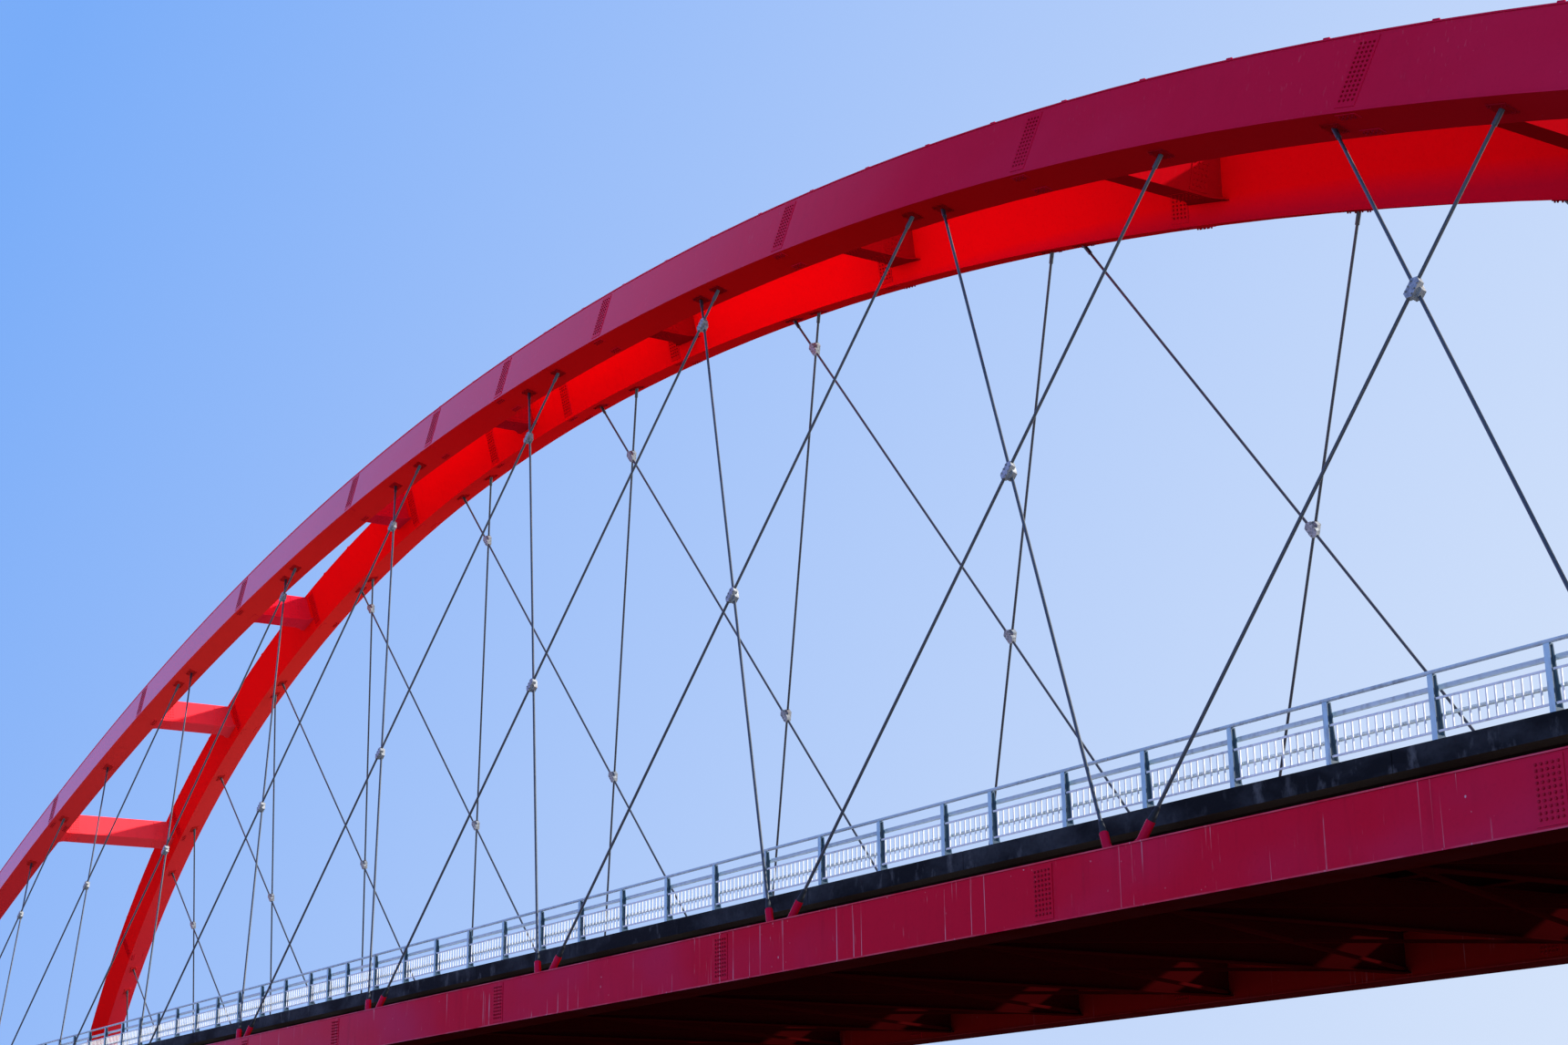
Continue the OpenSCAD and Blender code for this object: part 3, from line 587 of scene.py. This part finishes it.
def cable_sheath():
    """Dark sheathing with a helical rib against rain and small dusty patches."""
    paint = Paint("hanger_sheath")
    colour = paint.mix(paint.patches(0.15, 0.3, 0.7), *SHEATH)
    colour = paint.mix(paint.patches(0.01, 0.55, 0.8, most=0.3), colour, SHEATH_DUST)
    helix = paint.node("ShaderNodeTexWave", bands_direction="DIAGONAL")
    helix.inputs["Scale"].default_value = SHEATH_RIB_SCALE
    paint.plug(paint.coords, helix.inputs["Vector"])
    paint.bump(helix.outputs["Fac"], distance=0.0003, strength=0.2)
    return paint.finish(colour, paint.uneven(0.05, 0.34, 0.46), specular_ior_level=0.8)


def galvanised():
    """Dull zinc with its crystal pattern and a little rust."""
    paint = Paint("zinc")
    crystals = paint.node("ShaderNodeTexVoronoi")
    crystals.inputs["Scale"].default_value = ZINC_SCALE
    paint.plug(paint.coords, crystals.inputs["Vector"])
    colour = paint.mix(crystals.outputs["Distance"], *ZINC)
    colour = paint.mix(paint.patches(0.03, 0.58, 0.75, most=0.6), colour, ZINC_RUST)
    return paint.finish(colour, paint.uneven(0.02, 0.34, 0.6), metallic=0.5)


def rubber():
    paint = Paint("boot_rubber")
    colour = paint.mix(paint.noise(0.02), *RUBBER)
    return paint.finish(colour, paint.uneven(0.02, 0.5, 0.75), specular_ior_level=0.2)


def kerb_concrete():
    """Weathered concrete with black mould patches, paler worn places, fine pits and painted shade on its
    undersides.
    """
    paint = Paint("kerb_concrete")
    colour = paint.mix(paint.patches(0.08, 0.4, 0.66, stretch=(2, 1, 1), detail=6.0), *KERB)
    worn = paint.times(paint.patches(0.03, 0.56, 0.68, stretch=(1, 1, 2), detail=6.0),
                       paint.patches(0.3, 0.38, 0.58))
    colour = paint.mix(worn, colour, KERB_WORN)
    # painted shade on the kerbs' undersides
    colour = paint.mix(paint.fit(paint.facing("Z"), -0.3, -0.8), colour, KERB_BELOW)
    grain = paint.noise(0.008, detail=6.0, roughness=0.7)
    colour = paint.mix(paint.fit(grain, 0.5, 0.7, 0.0, 0.5), colour, KERB_PITS)
    colour = paint.mix(paint.fit(paint.facing("Z"), *FACES_UP, 0.0, 0.7), colour, KERB_TOP)
    paint.bump(grain, distance=0.0012, strength=0.6)
    return paint.finish(colour, paint.fit(grain, 0.3, 0.7, 0.78, 0.95), specular_ior_level=0.1)


def slab_concrete():
    """The deck's edge and underside: concrete painted dark brown as shade, stained down from the kerb."""
    paint = Paint("slab_concrete")
    grain = paint.noise(0.008, detail=6.0, roughness=0.7)
    colour = paint.mix(paint.patches(0.12, 0.35, 0.7, stretch=(2, 1, 1), detail=5.0), *SLAB)
    stains = paint.times(paint.patches(0.02, 0.5, 0.7, stretch=(1, 1, 6)), paint.patches(0.3, 0.4, 0.6))
    colour = paint.mix(paint.times(stains, 0.7), colour, SLAB_STAIN)
    paint.bump(grain, distance=0.0010, strength=0.5)
    return paint.finish(colour, paint.fit(grain, 0.3, 0.7, 0.8, 0.95), specular_ior_level=0.1)


def cast_concrete():
    """Cast concrete with formwork joints, cloudy tone and stains that run down."""
    paint = Paint("cast_concrete")
    colour = paint.mix(paint.patches(0.35, 0.3, 0.72, detail=6.0), *CAST)
    grain = paint.noise(0.012, detail=6.0, roughness=0.7)
    colour = paint.mix(paint.fit(grain, 0.5, 0.72, 0.0, 0.4), colour, CAST_PITS)
    runs = paint.times(paint.patches(0.035, 0.48, 0.68, stretch=(1, 1, 8), detail=5.0),
                       paint.patches(0.3, 0.38, 0.62, most=0.75))
    colour = paint.mix(runs, colour, CAST_RUNS)
    across_x, across_y, across_z = (paint.lines(axis, FORMWORK_PITCH, FORMWORK_LINE) for axis in "XYZ")
    joints = paint.larger(paint.larger(across_z, across_x), across_y)
    colour = paint.mix(paint.times(joints, 0.5), colour, CAST_JOINT)
    paint.bump(paint.minus(grain, joints), distance=0.0012, strength=0.7)
    return paint.finish(colour, paint.fit(grain, 0.3, 0.7, 0.78, 0.95))


def road_lines(paint):
    """1 on the edge lines and on the dashes in the middle of the road."""
    from_middle = paint.absolute(paint.along("Y"))
    from_edge_line = paint.absolute(paint.minus(from_middle, EDGE_LINE_Y))
    edge_lines = paint.fit(from_edge_line, *LINE_HALF, 1.0, 0.0)
    dashes = paint.fit(paint.math("PINGPONG", paint.along("X"), DASH_PERIOD / 2), *DASH_HALF, 1.0, 0.0)
    return paint.larger(edge_lines, paint.times(paint.fit(from_middle, *LINE_HALF, 1.0, 0.0), dashes))


def asphalt():
    """Asphalt with stone grain, worn wheel tracks and worn lines."""
    paint = Paint("asphalt")
    stones = paint.noise(0.0025, detail=3.0, roughness=0.7)
    colour = paint.mix(paint.fit(stones, 0.35, 0.7), *ASPHALT)
    tracks = paint.noise(0.25, stretch=(6, 1, 1), detail=5.0)
    colour = paint.mix(paint.fit(tracks, 0.42, 0.68, 0.0, 0.5), colour, WHEEL_TRACK)
    unworn = paint.patches(0.01, 0.38, 0.5, most=0.85, least=0.25, detail=6.0)
    colour = paint.mix(paint.times(road_lines(paint), unworn), colour, ROAD_LINE)
    paint.bump(stones, distance=0.0006, strength=0.6)
    return paint.finish(colour, paint.fit(tracks, 0.3, 0.7, 0.92, 0.75))


def post_hollow(paint):
    """1 on the faces between a post's two flanges and on its sides."""
    along_road = paint.fit(paint.absolute(paint.facing("X")), 0.5, 0.8)
    from_middle = paint.absolute(paint.along("Y"))
    behind = paint.fit(from_middle, POST_FACE - HOLLOW_FULL, POST_FACE - HOLLOW_FROM, 1.0, 0.0)
    return paint.larger(along_road, paint.times(behind, paint.fit(paint.outwards(), *FACES_OUT)))


def railing_paint(name, tones, hollow=0.0, shine=0.3):
    """Pale paint, chalky, with grime in patches and rust spots; hollow is how strong the painted shade on a
    post's sides and in its hollow is.
    """
    paint = Paint(name)
    colour = paint.mix(paint.patches(0.15, 0.3, 0.7), *tones)
    if hollow:
        colour = paint.mix(paint.times(post_hollow(paint), hollow), colour, POST_SHADE)
    grime = paint.times(paint.patches(0.012, 0.5, 0.72, stretch=(1, 1, 3), detail=5.0),
                        paint.patches(0.2, 0.4, 0.65))
    colour = paint.mix(paint.times(grime, 0.6), colour, RAILING_GRIME)
    rust = paint.times(paint.patches(0.006, 0.68, 0.74, detail=5.0), paint.patches(0.1, 0.5, 0.7))
    colour = paint.mix(rust, colour, RAILING_RUST)
    return paint.finish(colour, paint.uneven(0.04, 0.36, 0.56), specular_ior_level=shine)


def dark_steel():
    paint = Paint("bearing_steel")
    colour = paint.mix(paint.patches(0.03, 0.35, 0.7, detail=5.0), *BEARING_STEEL)
    return paint.finish(colour, paint.uneven(0.02, 0.45, 0.8), metallic=0.5)


def make_red_paints():
    return {
        "rib_paint": red_paint("rib_paint", base=RIB_OUTER, inner=RIB_INNER, below=RIB_BELOW, band=RIB_SHADED_BAND,
                               streaks=0.08, runs=0.1),
        "soffit_paint": red_paint("soffit_paint", base=ANCHOR_RED, gloss=0.0, streaks=0.0, under=(0.8, 1.0)),
        "joint_paint": red_paint("joint_paint", base=RIB_OUTER, inner=(0.74, 0.002, 0.006), below=RIB_BELOW,
                                 band=RIB_SHADED_BAND, gloss=0.6, streaks=0.1, rough=0.55),
        "joint_bolt_paint": red_paint("joint_bolt_paint", base=(0.26, 0.003, 0.012),
                                      inner=(0.38, 0.002, 0.004), gloss=0.15, streaks=0.0, rough=0.6),
        "strut_paint": red_paint("strut_paint", base=STRUT_RED, gloss=0.5, low_gloss=0.0, streaks=0.1,
                                 under=(0.35, 1.0), bloom=0.0),
        # the girders' inner faces and undersides are dark with painted shade
        "girder_paint": red_paint("girder_paint", base=(0.64, 0.005, 0.030), inner=(0.13, 0.003, 0.003),
                                  gloss=0.5, low_gloss=0.16, streaks=0.9, runs=0.3, rough=0.5,
                                  under=(0.12, 0.20), painted_edge_highlight=0.28, bloom=0.8),
        # the bolts on the girders' inner faces are dark with painted shade
        "girder_bolt_paint": red_paint("girder_bolt_paint", base=(0.38, 0.005, 0.022),
                                       inner=(0.08, 0.002, 0.002), gloss=0.5, low_gloss=0.3, streaks=0.0,
                                       rough=0.5),
        # near-black painted shade for the floor beams and bracing under the deck
        "floor_paint": red_paint("floor_paint", base=(0.020, 0.0008, 0.0010), gloss=0.0, streaks=0.0,
                                 grime=0.2, rough=0.8, under=(0.5, 0.7), sunny=0.0, bloom=0.0),
    }


def make_materials():
    """All materials, by the name of the record's slot or by the name that OWN_MATERIAL uses."""
    return {
        **make_red_paints(),
        "cable": cable_sheath(),
        "zinc": galvanised(),
        "boot": rubber(),
        "concrete": kerb_concrete(),
        "slab_concrete": slab_concrete(),
        "abutment_concrete": cast_concrete(),
        "asphalt": asphalt(),
        "railing_paint": railing_paint("railing_paint", RAIL),
        "panel_paint": railing_paint("panel_paint", BALUSTER),
        "post_paint": railing_paint("post_paint", POST, hollow=0.92, shine=0.1),
        "bearing_steel": dark_steel(),
    }


# Pieces whose material isn't that of their slot, by how their names start
OWN_MATERIAL = {
    "rib_splices": "joint_paint",
    "arch_anchor_plates": "soffit_paint",
    "railing_posts": "post_paint",
    "baluster_panels": "panel_paint",
    "deck_slab": "slab_concrete",
}


def material_of(name, materials):
    for start, material in OWN_MATERIAL.items():
        if name.startswith(start):
            return materials[material]
    return materials[SLOTS[name]]


def paint_nodes(materials):
    for name, node in NODES.items():
        node.data.materials.clear()
        node.data.materials.append(material_of(name, materials))


# Meshes

class Shape:
    """Collects the points and faces of one piece."""

    def __init__(self):
        self.points = []
        self.faces = []

    def ring(self, centre, side, other, radius):
        """Adds the corners of a bolt's outline and returns the first one's number."""
        first = len(self.points)
        for k in range(BOLT_SIDES):
            angle = 2 * math.pi * k / BOLT_SIDES
            across = side * (radius * math.cos(angle))
            along = other * (radius * math.sin(angle))
            self.points.append(centre + across + along)
        return first

    def join(self, low, high):
        for k in range(BOLT_SIDES):
            n = (k + 1) % BOLT_SIDES
            self.faces.append((low + k, low + n, high + n, high + k))

    def cap(self, first):
        self.faces.append(tuple(range(first, first + BOLT_SIDES)))

    def bolt(self, centre, normal, radius, height):
        """A washer with a six-sided head on it."""
        side = normal.orthogonal().normalized()
        other = normal.cross(side)
        foot = self.ring(centre - normal * SUNK_H * height, side, other, radius * WASHER_R)
        washer = self.ring(centre + normal * WASHER_H * height, side, other, radius * WASHER_R)
        self.join(foot, washer)
        self.cap(washer)
        base = self.ring(centre + normal * WASHER_H * height, side, other, radius)
        shoulder = self.ring(centre + normal * SHOULDER_H * height, side, other, radius)
        top = self.ring(centre + normal * height, side, other, radius * TOP_R)
        self.join(base, shoulder)
        self.join(shoulder, top)
        self.cap(top)

    def block(self, centre, x_half, y_half, z_half):
        """A box from its centre and three half edges, each a vector."""
        first = len(self.points)
        for c in (-1, 1):
            for b in (-1, 1):
                for a in (-1, 1):
                    self.points.append(centre + x_half * a + y_half * b + z_half * c)
        for face in ((0, 2, 3, 1), (4, 5, 7, 6), (0, 1, 5, 4), (2, 6, 7, 3), (0, 4, 6, 2), (1, 3, 7, 5)):
            self.faces.append(tuple(first + v for v in face))

    def make(self, name, material):
        mesh = bpy.data.meshes.new(name)
        mesh.from_pydata(self.points, [], self.faces)
        mesh.materials.append(material)
        piece = bpy.data.objects.new(name, mesh)
        bpy.context.scene.collection.objects.link(piece)
        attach(piece, "root")


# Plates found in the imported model

class Plate:
    """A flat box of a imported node: its centre and its edges, from the thinnest to the longest."""

    def __init__(self, corners):
        self.centre = sum(corners, Vector()) / len(corners)
        first = corners[0]
        edges = []
        for other in sorted(corners[1:], key=lambda c: (c - first).length):
            edge = other - first
            if all(abs(edge.normalized().dot(e.normalized())) < SQUARE for e in edges):
                edges.append(edge)
        self.thin, self.short, self.long = edges[:3]

    def outward(self, inside):
        """The unit normal of the face that looks away from a point."""
        normal = self.thin.normalized()
        return normal if normal.dot(self.centre - inside) > 0 else -normal


def loose_parts(name):
    """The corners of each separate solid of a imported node."""
    mesh = NODES[name].data
    places = {}
    index = [places.setdefault(tuple(round(c, 6) for c in v.co), len(places)) for v in mesh.vertices]
    points = [Vector(place) for place in places]
    parent = list(range(len(points)))

    def root(i):
        while parent[i] != i:
            parent[i] = parent[parent[i]]
            i = parent[i]
        return i

    for polygon in mesh.polygons:
        first, *rest = (index[v] for v in polygon.vertices)
        for v in rest:
            parent[root(v)] = root(first)
    groups = {}
    for i, point in enumerate(points):
        groups.setdefault(root(i), []).append(point)
    return list(groups.values())


def plates_of(name):
    return [Plate(corners) for corners in loose_parts(name) if len(corners) == 8]


def grouped(plates, reach):
    """Groups of plates that stand within reach of each other, such as the covers of one joint."""
    groups = []
    for plate in sorted(plates, key=lambda p: p.centre.x):
        for group in groups:
            if (group[0].centre - plate.centre).length < reach:
                group.append(plate)
                break
        else:
            groups.append([plate])
    return groups


def bolt_grid(shape, face, across, along, normal, counts, size):
    """Bolts in rows on a face: across and along are its full edges."""
    columns, rows = counts
    for i in range(columns):
        for j in range(rows):
            u = ((i + 0.5) / columns - 0.5) * (1 - EDGE_MARGIN)
            v = ((j + 0.5) / rows - 0.5) * (1 - EDGE_MARGIN)
            shape.bolt(face + across * u + along * v, normal, *size)


def plate_bolts(shape, plate, inside, counts, size):
    normal = plate.outward(inside)
    face = plate.centre + normal * (plate.thin.length / 2)
    bolt_grid(shape, face, plate.short, plate.long, normal, counts, size)


def make_rib_bolts(materials):
    """Bolt heads on the webs and tops of the rib joints, and long nuts under their soffits."""
    for side in SIDES:
        shape = Shape()
        for joint in grouped(plates_of(f"rib_splices_{side}"), RIB_DEPTH):
            inside = sum((p.centre for p in joint), Vector()) / len(joint)
            for plate in joint:
                if plate.long.length > WEB_COVER_L:
                    plate_bolts(shape, plate, inside, RIB_WEB_BOLTS, BOLT)
                elif plate.short.length > FLANGE_COVER_W:
                    plate_bolts(shape, plate, inside, RIB_FLANGE_BOLTS, BOLT)
                else:
                    plate_bolts(shape, plate, inside, RIB_STRIP_BOLTS, SOFFIT_NUT)
        shape.make(f"rib_bolts_{side}", materials["joint_bolt_paint"])


def make_girder_bolts(materials):
    for side, sign in SIDES.items():
        shape = Shape()
        for plate in plates_of(f"girder_splices_{side}"):
            inside = Vector((plate.centre.x, sign * PLANE_SPACING / 2, plate.centre.z))
            plate_bolts(shape, plate, inside, GIRDER_WEB_BOLTS, BOLT)
        shape.make(f"girder_bolts_{side}", materials["girder_bolt_paint"])


def make_anchor_nuts(materials):
    """Long nuts under the plates that hold the hangers' tops."""
    shape = Shape()
    for plate in plates_of("arch_anchor_plates"):
        normal = -plate.thin.normalized() if plate.thin.z > 0 else plate.thin.normalized()
        face = plate.centre + normal * (plate.thin.length / 2)
        for i in ANCHOR_ALONG:
            for j in ANCHOR_ACROSS:
                shape.bolt(face + plate.long * i + plate.short * j, normal, *ANCHOR_NUT)
    shape.make("anchor_nuts", materials["soffit_paint"])


def clamp_middle(corners, axes):
    """The middle of a clamp's box along three axes, and half its depth along the last."""
    low = [min(c.dot(axis) for c in corners) for axis in axes]
    high = [max(c.dot(axis) for c in corners) for axis in axes]
    middle = Vector()
    for axis, a, b in zip(axes, low, high):
        middle += axis * ((a + b) / 2)
    return middle, (high[-1] - low[-1]) / 2


def make_clamp_bolts(materials):
    """Bolts on the two outer faces of each clamp, beside the hanger that runs through it."""
    angle = math.radians(HANGER_ANGLE)
    shape = Shape()
    for side, sign in SIDES.items():
        out = Vector((0.0, sign * math.cos(LEAN), math.sin(LEAN)))
        up = Vector((0.0, -sign * math.sin(LEAN), math.cos(LEAN)))
        for corners in loose_parts(f"hanger_clamps_{side}"):
            middle, half = clamp_middle(corners, (Vector((1.0, 0.0, 0.0)), up, out))
            for face in (-1, 1):
                along = Vector((face * math.cos(angle), 0.0, 0.0)) + up * math.sin(angle)
                beside = along.cross(out)
                for i in CLAMP_ACROSS:
                    for j in CLAMP_ALONG:
                        place = middle + out * (face * half) + beside * i + along * j
                        shape.bolt(place, out * face, *CLAMP_BOLT)
    shape.make("clamp_bolts", materials["zinc"])


# Struts

class Strut:
    """One cross strut: its centre, its two cross axes and half its clear length."""

    def __init__(self, i):
        angle = math.asin(i * STRUT_PITCH / STRUT_MID_R)
        up = CENTRE_UP + STRUT_MID_R * math.cos(angle)
        height = GIRDER_TOP + up * math.cos(LEAN) - RIB_WEB_OUT * math.sin(LEAN)
        self.centre = Vector((i * STRUT_PITCH, 0.0, height))
        self.half = PLANE_SPACING / 2 - up * math.sin(LEAN) - RIB_WEB_OUT * math.cos(LEAN)
        self.across = Vector((math.cos(angle), 0.0, -math.sin(angle)))
        self.radial = Vector((math.sin(angle), 0.0, math.cos(angle)))

    def splice_places(self):
        """Distances from the middle of the strut to its bolted joints."""
        if self.half < SHORT_STRUT:
            return [0.0]
        return [-(self.half - SPLICE_IN), self.half - SPLICE_IN]

    def splice_faces(self):
        """For a joint's two pairs of covers: normal, strut's size along it, width, and bolts."""
        web_h = STRUT_DEPTH - 2 * SPLICE_EDGE
        flange_w = STRUT_W - 2 * SPLICE_EDGE
        return [(self.across, STRUT_W, self.radial * web_h, STRUT_WEB_BOLTS),
                (self.radial, STRUT_DEPTH, self.across * flange_w, STRUT_FLANGE_BOLTS)]


def make_strut_splices(materials):
    """Cover plates with bolts on the four faces of each strut's joints."""
    plates = Shape()
    bolts = Shape()
    length = Vector((0.0, SPLICE_L, 0.0))
    for i in range(-STRUTS_PER_SIDE, STRUTS_PER_SIDE + 1):
        strut = Strut(i)
        for place in strut.splice_places():
            for axis, thick, width, counts in strut.splice_faces():
                for normal in (-axis, axis):
                    on_strut = strut.centre + Vector((0.0, place, 0.0)) + normal * (thick / 2)
                    cover_half = normal * SPLICE_T / 2
                    plates.block(on_strut + cover_half, length / 2, width / 2, cover_half)
                    bolt_grid(bolts, on_strut + normal * SPLICE_T, length, width, normal, counts, BOLT)
    plates.make("strut_splice_plates", materials["strut_paint"])
    bolts.make("strut_bolts", materials["strut_paint"])


make_camera()
make_sky()
make_sun()
make_floor()
materials = make_materials()
paint_nodes(materials)
make_rib_bolts(materials)
make_girder_bolts(materials)
make_anchor_nuts(materials)
make_clamp_bolts(materials)
make_strut_splices(materials)
